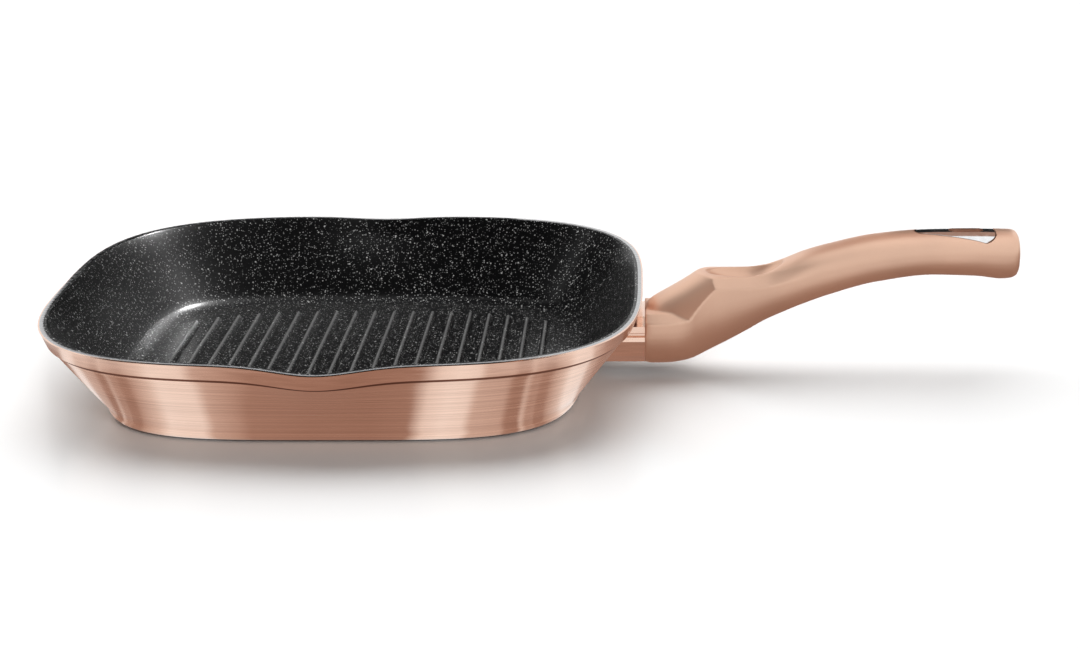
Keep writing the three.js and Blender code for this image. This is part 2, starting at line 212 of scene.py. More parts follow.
# Specks of the lining: cells to a metre, radius as a share of a cell, and brightness.
SPECKS = ((340, 0.18, 1.0), (600, 0.25, 0.85), (1000, 0.32, 0.6))
SPECK_CORE = 0.6               # share of a speck's radius that is fully bright
SPECK_CHOICE = (0.35, 1.0)     # a cell's random value, from no speck to a full one
CREST_HIGHLIGHT = 0.2               # how far the ribs' crests are painted towards the specks' colour, a painted highlight

# Grain of the lining and of the handle's lacquer: scale, detail, roughness, bump strength and depth.
LINING_GRAIN = (900, 3.0, (0.4, 0.55), 0.25, 0.08 * MM)
LACQUER_GRAIN = (1800, 2.0, (0.36, 0.48), 0.12, 0.03 * MM)
LACQUER_CLOUDS = (28, 2.0)     # scale and detail
LACQUER_STREAK = 0.04          # how far the clouds change the tone


def shade(base, share=1.0):
    """A darker or paler tone of a colour, fully opaque."""
    return (*(min(1.0, value * share) for value in base), 1.0)


class Nodes:
    """A node tree under construction, with short helpers."""

    def __init__(self, tree):
        self.tree = tree

    def feed(self, node, values):
        """Links sockets, or lists of them, to a node's inputs, and sets its other inputs."""
        for key, value in values.items():
            sources = value if isinstance(value, list) else [value]
            if isinstance(sources[0], bpy.types.NodeSocket):
                for source in sources:
                    self.tree.links.new(source, node.inputs[key])
            else:
                node.inputs[key].default_value = value

    def add(self, kind, values, **settings):
        """The outputs of a new node with the given inputs and settings."""
        node = self.tree.nodes.new(kind)
        for key, value in settings.items():
            setattr(node, key, value)
        self.feed(node, values)
        return node.outputs

    def math(self, how, *values):
        return self.add("ShaderNodeMath", dict(enumerate(values)), operation=how)["Value"]

    def most_of(self, sources):
        """The greatest of some sockets' values."""
        total = sources[0]
        for source in sources[1:]:
            total = self.math("MAXIMUM", total, source)
        return total

    def mix_shaders(self, share, first, second):
        return self.add("ShaderNodeMixShader", {0: share, 1: first, 2: second})["Shader"]

    def show_to(self, labels, shader, plain, direct=False):
        """Shows a plain shader instead of another to rays for which a named value is above nought.

        With direct set, rays that a dull surface has scattered don't see the plain one.
        """
        paths = self.add("ShaderNodeLightPath", {})
        share = self.most_of([paths[label] for label in labels])
        if direct:
            share = self.math("GREATER_THAN", share, paths["Diffuse Depth"])
        return self.mix_shaders(share, shader, plain)


class Finish(Nodes):
    """A material under construction."""

    def __init__(self, name):
        self.material = bpy.data.materials.new(name)
        self.material.use_nodes = True
        super().__init__(self.material.node_tree)
        self.shader = self.tree.nodes["Principled BSDF"]
        self.place = self.add("ShaderNodeTexCoord", {})["Object"]

    def set(self, **values):
        """Feeds inputs of the shader, with an underscore for each space in their names."""
        self.feed(self.shader, {key.replace("_", " "): value for key, value in values.items()})

    def show(self, source):
        self.feed(self.tree.nodes["Material Output"], {"Surface": source})

    def axes(self):
        return self.add("ShaderNodeSeparateXYZ", {"Vector": self.place})

    def noise(self, stretch, scale, detail):
        place = self.add("ShaderNodeMapping", {"Vector": self.place, "Scale": stretch})["Vector"]
        return self.add("ShaderNodeTexNoise", {"Vector": place, "Scale": scale, "Detail": detail})["Fac"]

    def spread(self, source, low, high, start=0.3, end=0.7):
        return self.add("ShaderNodeMapRange", {"Value": source, "From Min": start, "From Max": end,
                                               "To Min": low, "To Max": high})["Result"]

    def mix(self, factor, first, second):
        values = {"Factor": factor, "A": first, "B": second}
        return self.add("ShaderNodeMix", values, data_type="RGBA")["Result"]

    def tones(self, factor, base, streak):
        """Colours the surface between a darker and a paler tone."""
        dark, pale = shade(base, 1 - streak), shade(base, 1 + streak)
        self.set(Base_Color=self.mix(self.spread(factor, 0, 1), dark, pale))

    def grain(self, stretch, scale, detail, rough, strength, depth):
        """Noise that varies the roughness and dents the surface."""
        height = self.noise(stretch, scale, detail)
        dents = self.add("ShaderNodeBump", {"Strength": strength, "Distance": depth, "Height": height})
        self.set(Roughness=self.spread(height, *rough), Normal=dents["Normal"])
        return height


def brushed_metal(name, base, stretch, rough, strength, streak=0.08, level_gloss=0.0):
    """Metal with fine scratches. Level scratches spread its gloss up and down."""
    finish = Finish(name)
    finish.set(Metallic=1.0)
    ends = [rough + change for change in SCRATCH_ROUGH]
    scratches = finish.grain(stretch, 1.0, SCRATCH_DETAIL, ends, strength, SCRATCH_DEPTH)
    finish.tones(scratches, base, streak)
    if level_gloss:
        along = finish.add("ShaderNodeTangent", {}, direction_type="RADIAL", axis="Z")["Tangent"]
        finish.set(Tangent=along, Anisotropic=level_gloss, Anisotropic_Rotation=0.25)


def speckled_lining(colours, name="speckled_lining", crest_highlight=None):
    """Black semi-gloss lining with pale specks of three sizes, and a painted highlight, paler, between
    two heights.
    """
    finish = Finish(name)
    finish.set(Specular_IOR_Level=0.06, Coat_Weight=0.4, Coat_Roughness=0.24)
    finish.grain(EVEN, *LINING_GRAIN)
    layers = []
    for cells, radius, bright in SPECKS:
        cell = finish.add("ShaderNodeTexVoronoi", {"Vector": finish.place, "Scale": cells})
        spot = finish.spread(cell["Distance"], 1, 0, radius * SPECK_CORE, radius)
        chance = finish.add("ShaderNodeSeparateColor", {"Color": cell["Color"]})["Red"]
        layers.append(finish.math("MULTIPLY", spot, finish.spread(chance, 0, bright, *SPECK_CHOICE)))
    if crest_highlight:
        # Painted highlight: paler towards the top of the ribs' crests.
        layers.append(finish.spread(finish.axes()["Z"], 0, CREST_HIGHLIGHT, *crest_highlight))
    pale = finish.most_of(layers)
    finish.set(Base_Color=finish.mix(pale, shade(colours.lining), shade(colours.speck)))
    return finish.material


def satin_grip(colours):
    """Soft metallic lacquer on the moulded handle."""
    finish = Finish("satin_grip")
    finish.set(Metallic=0.8, Coat_Weight=0.1, Coat_Roughness=0.35)
    finish.grain(EVEN, *LACQUER_GRAIN)
    finish.tones(finish.noise(EVEN, *LACQUER_CLOUDS), colours.grip, LACQUER_STREAK)


def make_materials(colours):
    """Every finish, by name. Later calls find those of the first."""
    if "speckled_lining" in bpy.data.materials:
        return bpy.data.materials
    level, fine, across = (7, 7, 1500), (60, 60, 700), (40, 900, 40)
    brushed_metal("brushed_rose_gold", colours.rose_gold, level, rough=0.2, strength=0.1,
                  streak=0.15, level_gloss=0.7)
    brushed_metal("polished_rose_gold", colours.rose_gold, fine, rough=0.15, strength=0.04)
    # The groove below the band wears painted shade.
    brushed_metal("groove_shade", colours.groove, fine, rough=0.5, strength=0.04)
    brushed_metal("ground_aluminium", colours.aluminium, across, rough=0.26, strength=0.1)
    brushed_metal("base_steel", colours.steel, across, rough=0.32, strength=0.12)
    brushed_metal("screw_steel", colours.steel, (900, 300, 300), rough=0.3, strength=0.1)
    brushed_metal("bright_chrome", colours.chrome, (300, 300, 300), rough=0.09, strength=0.02)
    speckled_lining(colours)
    satin_grip(colours)
    return bpy.data.materials


# Mesh helpers

def bridge(rings):
    """Faces over rings of equally many points, with a fan at each end."""
    count = len(rings[0])
    points = [tuple(p) for ring in rings for p in ring]
    faces, rows = [], []
    for row in range(len(rings) - 1):
        for k in range(count):
            a, b = row * count + k, row * count + (k + 1) % count
            faces.append((a, b, b + count, a + count))
            rows.append(row)
    for row, ring, flip in ((0, 0, True), (len(rings) - 2, len(rings) - 1, False)):
        points.append(tuple(np.mean(np.array(rings[ring]), axis=0)))
        for k in range(count):
            a, b = ring * count + k, ring * count + (k + 1) % count
            faces.append((len(points) - 1, b, a) if flip else (len(points) - 1, a, b))
            rows.append(row)
    return points, faces, rows


def new_object(name, points, faces):
    """A flat-shaded object at the origin."""
    mesh = bpy.data.meshes.new(name)
    mesh.from_pydata(points, [], faces)
    thing = bpy.data.objects.new(name, mesh)
    bpy.context.collection.objects.link(thing)
    return thing


def sheet(name, corner, across, along):
    """A flat sheet from a corner and the two edges that meet there."""
    corner, across, along = Vector(corner), Vector(across), Vector(along)
    points = [corner, corner + across, corner + across + along, corner + along]
    return new_object(name, points, [(0, 1, 2, 3)])


def sharpen(thing, degrees):
    """Shades an object smooth but for edges sharper than an angle."""
    work = bmesh.new()
    work.from_mesh(thing.data)
    bmesh.ops.recalc_face_normals(work, faces=work.faces)
    for edge in work.edges:
        edge.smooth = edge.calc_face_angle(0.0) < math.radians(degrees)
    for face in work.faces:
        face.smooth = True
    work.to_mesh(thing.data)
    work.free()


def settle(thing):
    """Turns the object's modifiers into plain mesh."""
    graph = bpy.context.evaluated_depsgraph_get()
    made = bpy.data.meshes.new_from_object(thing.evaluated_get(graph))
    thing.modifiers.clear()
    thing.data = made


def carve(thing, tool, how="DIFFERENCE"):
    """Cuts an object with another one, which is then removed."""
    cut = thing.modifiers.new("cut", "BOOLEAN")
    cut.operation = how
    cut.solver = "MANIFOLD"
    cut.object = tool
    bpy.context.view_layer.update()
    settle(thing)
    bpy.data.objects.remove(tool)


def wear(thing, scene, *names):
    """Gives an object the named finishes."""
    kit = make_materials(scene.pan_colours)
    thing.data.materials.clear()
    for name in names:
        thing.data.materials.append(kit[name])


def present(thing, slot, *nodes):
    """Makes a finished piece part of the object."""
    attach(thing, ROOT)
    if nodes:
        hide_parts(*nodes)


# Bowl

class Bowl:
    """The bowl's outline and profile, worked out from its sizes."""
    POINTS = 320
    ROUND_STEPS, WALL_STEPS, LINING_STEPS, FILLET_STEPS = 8, 14, 12, 10
    FILLET_TURN = math.pi / 4
    # GROOVE is the groove's finish of painted shade.
    STEEL, GOLD, BAND, RIM, LINING, GROOVE = range(6)  # finishes in the order that the bowl wears them
    # The groove and the band's foot: millimetres out and up from the band's lower edge, and finish.
    BAND_FOOT = ((-1.5, -0.5, GROOVE), (-1.2, 0.2, GROOVE), (-0.15, 0, BAND), (0.1, 0.4, BAND))
    BAND_BEVEL = 0.25 * MM
    RIM_OUTER, RIM_INNER = 0.4, 0.6  # share of the rim's rounds that their facets take
    PLATE_GAP = 0.3 * MM

    def __init__(self, sizes):
        self.s = sizes
        self.rim_half = PAN_HIGH.x
        self.top = PAN_HIGH.z
        self.low = PAN_LOW.z
        self.floor = self.low + sizes.floor_thick
        self.band_foot = self.top - sizes.band_height
        self.wall_foot = self.low + sizes.base_round
        self.foot_half = sizes.base_half + sizes.base_round
        top_half = self.rim_half - sizes.band_slope - sizes.band_step
        self.lean = (top_half - self.foot_half) / (self.band_foot - self.wall_foot)
        self.spout_foot = self.floor + sizes.floor_fillet / 2

    def wall_half(self, z):
        return self.foot_half + self.lean * (z - self.wall_foot)

    def power(self, z):
        share = min(1.0, max(0.0, (z - self.low) / (self.band_foot - self.low)))
        return self.s.base_power + (self.s.rim_power - self.s.base_power) * share

    def ring(self, half, z, power=None):
        s = self.s
        turn = np.linspace(0, 2 * math.pi, self.POINTS, endpoint=False)
        c, d = np.cos(turn), np.sin(turn)
        p = power or self.power(z)
        reach = half / (abs(c) ** p + abs(d) ** p) ** (1 / p)
        share = min(1.0, max(0.0, (z - self.spout_foot) / (self.band_foot - self.spout_foot))) ** 2
        swell = share * np.exp(-(reach * c / s.spout_width) ** 2)
        y = reach * d + np.sign(d) * s.spout_out * swell
        return np.stack([reach * c, y, z - s.spout_dip * swell], axis=1)

    def wall_x(self, y, z):
        """Where the outside of the wall lies at a place under the handle."""
        half, p = self.wall_half(z), self.power(z)
        return half * (1 - (abs(y) / half) ** p) ** (1 / p)

    def profile(self):
        """Half width, height, finish that follows and own power, if any, from underside to floor."""
        s = self.s
        rows = []

        def add(half, z, finish, power=None):
            rows.append((half, z, finish, power))

        recess = PLATE_HIGH.x + self.PLATE_GAP
        add(recess, PLATE_HIGH.z, self.STEEL, 2.0)
        add(recess, self.low, self.STEEL, 2.0)
        for turn in np.linspace(0, math.pi / 2, self.ROUND_STEPS)[:-1]:
            half = s.base_half + s.base_round * math.sin(turn)
            add(half, self.low + s.base_round * (1 - math.cos(turn)), self.GOLD)
        *heights, last = np.linspace(self.wall_foot, self.band_foot - s.groove_drop, self.WALL_STEPS)
        for z in heights:
            add(self.wall_half(z), z, self.GOLD)
        add(self.wall_half(last), last, self.GROOVE)
        for out, up, finish in self.BAND_FOOT:
            add(self.rim_half - s.band_slope + out * MM, self.band_foot + up * MM, finish)
        edge = s.rim_round
        add(self.rim_half - self.BAND_BEVEL, self.top - edge, self.BAND)
        add(self.rim_half, self.top - edge * self.RIM_OUTER, self.BAND)
        add(self.rim_half - edge, self.top, self.RIM)
        inner = self.rim_half - s.rim_width
        add(self.rim_half - s.rim_bare, self.top, self.LINING)
        add(inner + edge * self.RIM_INNER, self.top, self.LINING)
        add(inner, self.top - edge * self.RIM_INNER, self.LINING)
        wall_z = self.floor + s.floor_fillet * (1 - math.cos(self.FILLET_TURN))
        wall_half = self.wall_half(wall_z) - s.wall_thick
        for share in np.linspace(0, 1, self.LINING_STEPS)[1:-1]:
            half = inner + (wall_half - inner) * share
            add(half, self.top - edge + (wall_z - self.top + edge) * share, self.LINING)
        floor_half = wall_half - s.floor_fillet * math.sin(self.FILLET_TURN)
        for turn in np.linspace(self.FILLET_TURN, 0, self.FILLET_STEPS):
            half = floor_half + s.floor_fillet * math.sin(turn)
            add(half, self.floor + s.floor_fillet * (1 - math.cos(turn)), self.LINING)
        return rows


class GRILLPAN_OT_bowl(bpy.types.Operator):
    """Make the bowl with its rim, band, spouts and lining"""
    bl_idname = "grillpan.bowl"
    bl_label = "Bowl"

    def execute(self, context):
        scene = context.scene
        bowl = Bowl(scene.pan_sizes)
        rows = bowl.profile()
        points, faces, bands = bridge([bowl.ring(half, z, p) for half, z, _, p in rows])
        thing = new_object("pan_bowl", points, faces)
        wear(thing, scene, "base_steel", "brushed_rose_gold", "polished_rose_gold", "ground_aluminium",
             "speckled_lining", "groove_shade")
        thing.data.polygons.foreach_set("material_index", [rows[band][2] for band in bands])
        sharpen(thing, degrees=38)
        present(thing, "rose_gold_wall", "pan_body")
        return {"FINISHED"}


# Node trees

class Tree(Nodes):
    """A geometry node tree with named inputs."""

    def __init__(self, name, **inputs):
        super().__init__(bpy.data.node_groups.new(name, "GeometryNodeTree"))
        face = self.tree.interface
        face.new_socket("Geometry", in_out="INPUT", socket_type="NodeSocketGeometry")
        self.keys = {}
        for label, kind in inputs.items():
            socket = face.new_socket(label, in_out="INPUT", socket_type="NodeSocket" + kind)
            self.keys[label] = socket.identifier
        face.new_socket("Geometry", in_out="OUTPUT", socket_type="NodeSocketGeometry")
        self.start = self.add("NodeGroupInput", {})
        self.finish = self.tree.nodes.new("NodeGroupOutput")

    def end(self, geometry, material):
        real = self.add("GeometryNodeRealizeInstances", {"Geometry": geometry})["Geometry"]
        paint = self.add("GeometryNodeSetMaterial", {"Geometry": real, "Material": material})
        self.feed(self.finish, {"Geometry": paint["Geometry"]})

    def run(self, thing, **values):
        modifier = thing.modifiers.new("nodes", "NODES")
        modifier.node_group = self.tree
        for label, value in values.items():
            modifier[self.keys[label]] = value
        bpy.context.view_layer.update()
        settle(thing)


# Ends of a rib, as shares of its half length and of its height.
RIB_ENDS = ((-1.0, 0.0), (-0.996, 0.6), (-0.985, 1.0), (0.985, 1.0), (0.996, 0.6), (1.0, 0.0))
RIB_STEPS = 8
RIB_SINK = 0.5 * MM            # how far its foot lies under the floor
RIB_LEAN, RIB_ROUND = 0.8, 0.7  # powers by which it narrows and rises
RIB_MIDDLE = 0.2               # cosine below which it is as narrow as its crest
RIB_LOWEST = 0.02              # share of its height that is left at the very ends
RIB_FIELD_POWER = 3.0          # power of the outline that the ribs' ends follow
RIB_HIGHLIGHT_FROM = 0.7                 # share of its height from which its crest carries a painted highlight


def rib_blank(sizes):
    """One rounded rib, one metre from the middle to each end, foot just under the floor."""
    foot, crest, high = sizes.rib_foot / 2, sizes.rib_crest / 2, sizes.rib_height
    rings = []
    for y, rise in RIB_ENDS:
        ring = [(foot, y, -RIB_SINK)]
        for k in range(RIB_STEPS + 1):
            turn = math.pi * k / RIB_STEPS
            lean = foot + (crest - foot) * math.sin(turn) ** RIB_LEAN
            x = math.cos(turn) * (lean if abs(math.cos(turn)) > RIB_MIDDLE else crest)
            ring.append((x, y, high * max(rise, RIB_LOWEST) * math.sin(turn) ** RIB_ROUND))
        ring.append((-foot, y, -RIB_SINK))
        rings.append(ring)
    return bridge(rings)[:2]


class GRILLPAN_OT_ribs(bpy.types.Operator):
    """Lay the grill ribs side by side on the floor"""
    bl_idname = "grillpan.ribs"
    bl_label = "Grill ribs"

    def execute(self, context):
        scene = context.scene
        s = scene.pan_sizes
        tree = Tree("grill_ribs", Count="Int", Pitch="Float", Reach="Float", Field="Float", Floor="Float")
        inputs = tree.start
        half_count = tree.math("MULTIPLY", tree.math("SUBTRACT", inputs["Count"], 1), -0.5)
        first_x = tree.math("MULTIPLY", half_count, inputs["Pitch"])
        first = tree.add("ShaderNodeCombineXYZ", {"X": first_x, "Z": inputs["Floor"]})[0]
        step = tree.add("ShaderNodeCombineXYZ", {"X": inputs["Pitch"]})[0]
        line = tree.add("GeometryNodeMeshLine", {"Count": inputs["Count"], "Start Location": first,
                                                 "Offset": step})["Mesh"]
        place = tree.add("GeometryNodeInputPosition", {})[0]
        across = tree.add("ShaderNodeSeparateXYZ", {0: place})["X"]
        share = tree.math("ABSOLUTE", tree.math("DIVIDE", across, inputs["Field"]))
        left = tree.math("SUBTRACT", 1.0, tree.math("POWER", share, RIB_FIELD_POWER))
        narrowed = tree.math("POWER", left, 1 / RIB_FIELD_POWER)
        length = tree.math("MULTIPLY", inputs["Reach"], narrowed)
        scale = tree.add("ShaderNodeCombineXYZ", {"X": 1.0, "Y": length, "Z": 1.0})[0]
        copies = tree.add("GeometryNodeInstanceOnPoints", {"Points": line, "Instance": inputs["Geometry"],
                                                           "Scale": scale})["Instances"]
        floor = PAN_LOW.z + s.floor_thick
        # The ribs' crests carry a painted highlight between these heights.
        crest_highlight = (floor + RIB_HIGHLIGHT_FROM * s.rib_height, floor + s.rib_height)
        tree.end(copies, speckled_lining(scene.pan_colours, "rib_lining", crest_highlight))
        thing = new_object("grill_ribs", *rib_blank(s))
        tree.run(thing, Count=s.rib_count, Pitch=s.rib_pitch, Reach=s.rib_field_y, Field=s.rib_field_x,
                 Floor=floor)
        sharpen(thing, degrees=60)
        present(thing, "rose_gold_wall")
        return {"FINISHED"}


PLATE_SIDES, HOLE_SIDES = 192, 24
HOLE_RINGS = ((34 * MM, 10), (66 * MM, 20))  # radius and number of holes
DRILL_LENGTH = 4.0             # in thicknesses of the plate


class GRILLPAN_OT_base_plate(bpy.types.Operator):
    """Make the perforated steel plate in the underside"""
    bl_idname = "grillpan.base_plate"
    bl_label = "Base plate"

    def execute(self, context):
        scene = context.scene
        s = scene.pan_sizes
        tree = Tree("base_plate", Radius="Float", Thick="Float", Hole="Float")
        inputs = tree.start
        disc = tree.add("GeometryNodeMeshCylinder", {"Vertices": PLATE_SIDES, "Radius": inputs["Radius"],
                                                     "Depth": inputs["Thick"]})["Mesh"]
        length = tree.math("MULTIPLY", inputs["Thick"], DRILL_LENGTH)
        drill = tree.add("GeometryNodeMeshCylinder", {"Vertices": HOLE_SIDES, "Radius": inputs["Hole"],
                                                      "Depth": length})["Mesh"]
        holes = []
        for radius, count in HOLE_RINGS:
            circle = tree.add("GeometryNodeMeshCircle", {"Vertices": count, "Radius": radius})["Mesh"]
            ring = tree.add("GeometryNodeInstanceOnPoints", {"Points": circle, "Instance": drill})
            holes.append(ring["Instances"])
        plate = tree.add("GeometryNodeMeshBoolean", {"Mesh 1": disc, "Mesh 2": holes},
                         operation="DIFFERENCE", solver="EXACT")["Mesh"]
        middle = (0, 0, (PLATE_LOW.z + PLATE_HIGH.z) / 2)
        raised = tree.add("GeometryNodeTransform", {"Geometry": plate, "Translation": middle})["Geometry"]
        tree.end(raised, make_materials(scene.pan_colours)["base_steel"])
        thing = new_object("base_plate", [(0, 0, 0)], [])
        tree.run(thing, Radius=PLATE_HIGH.x, Thick=PLATE_HIGH.z - PLATE_LOW.z, Hole=s.hole_radius)
        sharpen(thing, degrees=30)
        present(thing, "base_steel", "induction_plate")
        return {"FINISHED"}


# Handle

def smooth_table(rows, places):
    """Cubic curves through the rows that never overshoot, read at the given places."""
    data = np.array(rows, dtype=float)
    x, y = data[:, 0], data[:, 1:]
    gap = np.diff(x)[:, None]
    slope = np.diff(y, axis=0) / gap
    tangent = np.zeros_like(y)
    tangent[0], tangent[-1] = slope[0], slope[-1]
    same = slope[:-1] * slope[1:] > 0
    total = np.where(same, slope[:-1] + slope[1:], 1.0)
    tangent[1:-1] = np.where(same, 2 * slope[:-1] * slope[1:] / total, 0.0)
    row = np.clip(np.searchsorted(x, places, side="right") - 1, 0, len(x) - 2)
    h = gap[row]
    t = ((places - x[row]) / gap[row, 0])[:, None]
    near = (2 * t ** 3 - 3 * t ** 2 + 1) * y[row] + (t ** 3 - 2 * t ** 2 + t) * h * tangent[row]
    far = (3 * t ** 2 - 2 * t ** 3) * y[row + 1] + (t ** 3 - t ** 2) * h * tangent[row + 1]
    return near + far


def handle_section(values, place):
    """One section of the handle in millimetres, as pairs of Y and Z from the bottom round."""
    wide, low, belly, crease, shoulder, high, mid = values
    side = []
    for k in range(1, BELLY_STEPS + 1):
        turn = k / BELLY_STEPS * math.pi / 2
        drop = (belly - low) * math.cos(turn) ** (2 / BELLY_POWER)
        side.append((wide * math.sin(turn) ** (2 / BELLY_POWER), belly - drop))
    side.append((wide, (belly + crease) / 2))
    oval = min(1.0, max(0.0, (place - OVAL_START) / (OVAL_END - OVAL_START)))
    oval = oval * oval * (3 - 2 * oval)
    steps = SHOULDER_STEPS + TOP_STEPS
    for k in range(steps):
        if k <= SHOULDER_STEPS:
            y = wide + (shoulder - wide) * k / SHOULDER_STEPS
            z = crease + (high - crease) * k / SHOULDER_STEPS
        else:
            t = 1 - (k - SHOULDER_STEPS) / TOP_STEPS
            y, z = shoulder * t, mid + (high - mid) * t ** TOP_POWER
        turn = k / steps * math.pi / 2
        round_y = wide * math.cos(turn) ** (2 / OVAL_POWER)
        round_z = crease + (mid - crease) * math.sin(turn) ** (2 / OVAL_POWER)
        side.append((y + (round_y - y) * oval, z + (round_z - z) * oval))
    other = [(-y, z) for y, z in reversed(side)]
    return [(0.0, low), *side, (0.0, mid), *other]


def along_handle(name, sections, drop=0.0):
    """A closed form over sections, each a distance behind the handle's front and pairs of Y and Z."""
    rings = [[(GRIP_LOW.x + place * MM, y * MM, z * MM - drop) for y, z in section]
             for place, section in sections]
    return new_object(name, *bridge(rings)[:2])


def handle_body(name, drop=0.0):
    """The handle's form before the ledge is cut, lowered by a distance."""
    last = HANDLE_STATIONS[-1][0]
    ends = np.linspace(last - END_LENGTH, last, END_STEPS)
    places = np.unique(np.concatenate([np.linspace(0, last, BODY_STEPS), ends]))
    tables = smooth_table(HANDLE_STATIONS, places)
    return along_handle(name, [(x, handle_section(row, x)) for x, row in zip(places, tables)], drop)


def ledge_cutter():
    """All that lies above the front ledge and the thumb ramp."""
    floor = [(-y, z) for y, z in reversed(LEDGE)] + list(LEDGE[1:])
    roof = [(LEDGE[-1][0], 2 * RAMP_FOOT), (-LEDGE[-1][0], 2 * RAMP_FOOT)]
    ends = (-LEDGE_AHEAD, RAMP_END - LEDGE_SHORT)
    cutter = along_handle("ledge_cutter", [(x, floor + roof) for x in ends])
    sections = []
    for x in np.linspace(-RAMP_AHEAD, RAMP_END, RAMP_STEPS):
        toe = RAMP_TOE * (1 - math.exp(-x / RAMP_TOE))
        crest = RAMP_FOOT + RAMP_SLOPE * x + RAMP_CURVE * x * abs(x) + toe
        arch = [(y, crest - RAMP_FALL * abs(y / RAMP_HALF) ** RAMP_POWER)
                for y in np.linspace(RAMP_REACH, -RAMP_REACH, ARCH_STEPS)]
        sections.append((x, arch + [(-RAMP_REACH, -RAMP_DEPTH), (RAMP_REACH, -RAMP_DEPTH)]))
    carve(cutter, along_handle("thumb_ramp", sections))
    return cutter


def thumb_hollow():
    """The hollow behind the ridge, sunk in the handle's top."""
    middle, reach, half, deep = HOLLOW
    shares = np.sin(np.linspace(-HOLLOW_ENDS, HOLLOW_ENDS, HOLLOW_STEPS) * math.pi / 2)
    tops = smooth_table(HANDLE_STATIONS, middle + reach * shares)[:, -1]
    turns = np.linspace(0, 2 * math.pi, HOLLOW_SIDES, endpoint=False)
    sections = []
    for share, top in zip(shares, tops):
        room = 1 - share * share
        wide, down = half * room ** HOLLOW_WIDE, deep * room ** HOLLOW_DEEP
        section = [(wide * math.cos(turn), top + down * math.sin(turn)) for turn in turns]
        sections.append((middle + reach * share, section))
    return along_handle("thumb_hollow", sections)


def soften(thing, voxel, rounds):
    """Rounds every edge a little, as a moulded piece has it."""
    grain = thing.modifiers.new("grain", "REMESH")
    grain.mode = "VOXEL"
    grain.voxel_size = voxel
    ease = thing.modifiers.new("ease", "SMOOTH")
    ease.iterations = rounds
    bpy.context.view_layer.update()
    settle(thing)


def prism(name, outline):
    """An upright prism through the whole handle."""
    rings = [[(x, y, z) for x, y in outline] for z in (0.0, GRIP_HIGH.z + PRISM_ABOVE)]
    return new_object(name, *bridge(rings)[:2])


def arc(x, y, radius, start, end, steps=10):
    return [(x + radius * math.cos(a), y + radius * math.sin(a)) for a in np.linspace(start, end, steps)]


def slot_outline(h):
    first = GRIP_LOW.x + h.slot_start + h.slot_half
    last = GRIP_LOW.x + h.slot_end - h.slot_half
    quarter = math.pi / 2
    return arc(last, 0, h.slot_half, -quarter, quarter) + arc(first, 0, h.slot_half, quarter, 3 * quarter)


def hang_outline(h, grow):
    tip, end = GRIP_LOW.x + h.hang_tip - grow, GRIP_LOW.x + h.hang_end + grow
    half, narrow = h.hang_half + grow, h.hang_tip_half + grow
    corner = half / 2
    quarter = math.pi / 2
    return (arc(end - corner, -half + corner, corner, -quarter, 0)
            + arc(end - corner, half - corner, corner, 0, quarter)
            + arc(tip + narrow, 0, narrow, quarter, 3 * quarter))


class GRILLPAN_OT_grip(bpy.types.Operator):
    """Make the moulded handle with its slot and screw hole"""
    bl_idname = "grillpan.grip"
    bl_label = "Handle grip"

    def execute(self, context):
        scene = context.scene
        h = scene.handle_sizes
        thing = handle_body("handle_form")
        carve(thing, ledge_cutter())
        carve(thing, thumb_hollow())
        soften(thing, GRIP_VOXEL, GRIP_EASE)
        pocket = prism("pocket", hang_outline(h, 2 * h.fit_gap))
        carve(pocket, handle_body("pocket_floor", h.hang_thick + h.fit_gap))
        carve(thing, pocket)
        carve(thing, prism("slot", slot_outline(h)))
        seat = GRIP_LOW.x + h.screw_seat
        circle = arc(0, 0, h.access_radius, 0, 2 * math.pi, DRIVER_SIDES + 1)[:-1]
        rings = [[(x, y, z + h.screw_height) for y, z in circle] for x in (seat, seat + h.access_length)]
        carve(thing, new_object("driver_way", *bridge(rings)[:2]))
        thing.name = "grip_form"
        wear(thing, scene, "satin_grip")
        sharpen(thing, degrees=24)
        present(thing, "grip_satin", "handle_grip")
        return {"FINISHED"}


class GRILLPAN_OT_hang_plate(bpy.types.Operator):
    """Make the chrome plate round the hanging slot"""
    bl_idname = "grillpan.hang_plate"
    bl_label = "Hanging plate"

    def execute(self, context):
        scene = context.scene
        h = scene.handle_sizes
        thing = prism("hang_plate", hang_outline(h, 0.0))
        carve(thing, handle_body("plate_top"), "INTERSECT")
        carve(thing, handle_body("plate_floor", h.hang_thick))
        carve(thing, prism("plate_slot", slot_outline(h)))
        wear(thing, scene, "bright_chrome")
        sharpen(thing, degrees=40)
        present(thing, "insert_chrome", "hang_insert")
        return {"FINISHED"}


class GRILLPAN_OT_guard(bpy.types.Operator):
    """Make the polished sleeve between wall and handle"""
    bl_idname = "grillpan.guard"
    bl_label = "Flame guard"

    def execute(self, context):
        scene = context.scene
        h = scene.handle_sizes
        bowl = Bowl(scene.pan_sizes)
        end = GRIP_LOW.x - GUARD_GAP
        centre = Vector((0, (GUARD_SECTION[0][1] + GUARD_SECTION[-1][1]) / 2 * MM))
        half = [Vector((y * MM, z * MM)) for y, z in GUARD_SECTION]
        whole = half + [Vector((-p.x, p.y)) for p in reversed(half[1:-1])]

        def ring(inset, x=None):
            section = [p - (p - centre).normalized() * inset for p in whole]
            return [(bowl.wall_x(y, z) + h.fit_gap if x is None else x, y, z) for y, z in section]

        inner, outer = h.guard_wall, 0.0
        rings = [ring(inner, end - h.guard_web), ring(inner), ring(outer), ring(outer, end)]
        thing = new_object("guard_sleeve", *bridge(rings)[:2])
        wear(thing, scene, "polished_rose_gold")
        sharpen(thing, degrees=25)
        present(thing, "guard_metal", "flame_guard")
        return {"FINISHED"}


